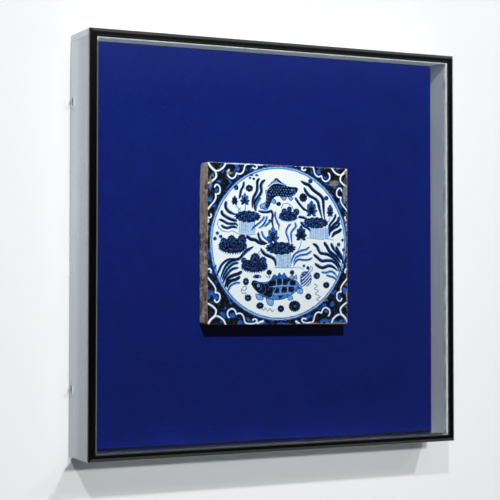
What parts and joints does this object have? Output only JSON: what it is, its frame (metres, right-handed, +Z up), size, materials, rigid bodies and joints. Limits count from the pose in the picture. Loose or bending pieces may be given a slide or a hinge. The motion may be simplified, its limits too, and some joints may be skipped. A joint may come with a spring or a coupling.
{
  "type": "framed porcelain tile",
  "caption": "Square blue-and-white tile on a cloth-covered panel inside a shallow wall box with flat walls, a clear front and a dark half-round edge.",
  "frame": {"origin": "centre of the back of the box, in the plane of the wall that it hangs on", "axes": "+Z up, the back of the box lies in the plane y = 0 and faces +Y into the wall, the clear front faces -Y, +X to the viewer's right"},
  "size_m": [0.564, 0.0765, 0.56],
  "materials": {
    "satin_silver": "satin anodised flat bar",
    "black_moulding": "satin black",
    "clear_pane": "clear, polished, with a pale cut edge",
    "pale_fillet": "pale grey, matt",
    "blue_cloth": "plain-woven royal blue cloth",
    "bare_wood": "unfinished plywood and softwood",
    "glazed_tile": "glossy white glaze painted in cobalt blue, bare brown-grey clay on the edges",
    "zinc_steel": "zinc plated"
  },
  "bodies": {
    "frame": {"wall_top": "satin_silver", "wall_bottom": "satin_silver", "wall_left": "satin_silver", "wall_right": "satin_silver", "front_moulding_top": "black_moulding", "front_moulding_right": "black_moulding", "front_moulding_bottom": "black_moulding", "front_moulding_left": "black_moulding", "front_pane": "clear_pane", "pane_fillet_top": "pale_fillet", "pane_fillet_bottom": "pale_fillet", "pane_fillet_left": "pale_fillet", "pane_fillet_right": "pale_fillet", "cloth_cover": "blue_cloth", "backing_board": "bare_wood", "batten_left": "bare_wood", "batten_right": "bare_wood", "batten_top": "bare_wood", "batten_bottom": "bare_wood", "tile": "glazed_tile", "tile_mount_plate": "zinc_steel", "stud_washer_upper_left": "zinc_steel", "stud_washer_upper_right": "zinc_steel", "stud_washer_lower_left": "zinc_steel", "stud_washer_lower_right": "zinc_steel", "stud_nut_upper_left": "zinc_steel", "stud_nut_upper_right": "zinc_steel", "stud_nut_lower_left": "zinc_steel", "stud_nut_lower_right": "zinc_steel", "wall_screw_left_upper": "zinc_steel", "wall_screw_left_lower": "zinc_steel", "wall_screw_right_upper": "zinc_steel", "wall_screw_right_lower": "zinc_steel", "hanger_strap_left": "zinc_steel", "hanger_strap_right": "zinc_steel", "hanger_screw_left_upper": "zinc_steel", "hanger_screw_left_lower": "zinc_steel", "hanger_screw_right_upper": "zinc_steel", "hanger_screw_right_lower": "zinc_steel"},
    "ring_left": {"hanger_ring_left": "zinc_steel"},
    "ring_right": {"hanger_ring_right": "zinc_steel"}
  },
  "joints": [
    {"name": "ring_left_swing", "type": "hinge", "parent": "frame", "child": "ring_left", "pos_m": [-0.239, -0.0037, 0.13], "axis": [1, 0, 0], "range_deg": [0, 180]},
    {"name": "ring_right_swing", "type": "hinge", "parent": "frame", "child": "ring_right", "pos_m": [0.239, -0.0037, 0.13], "axis": [1, 0, 0], "range_deg": [0, 180]}
  ]
}
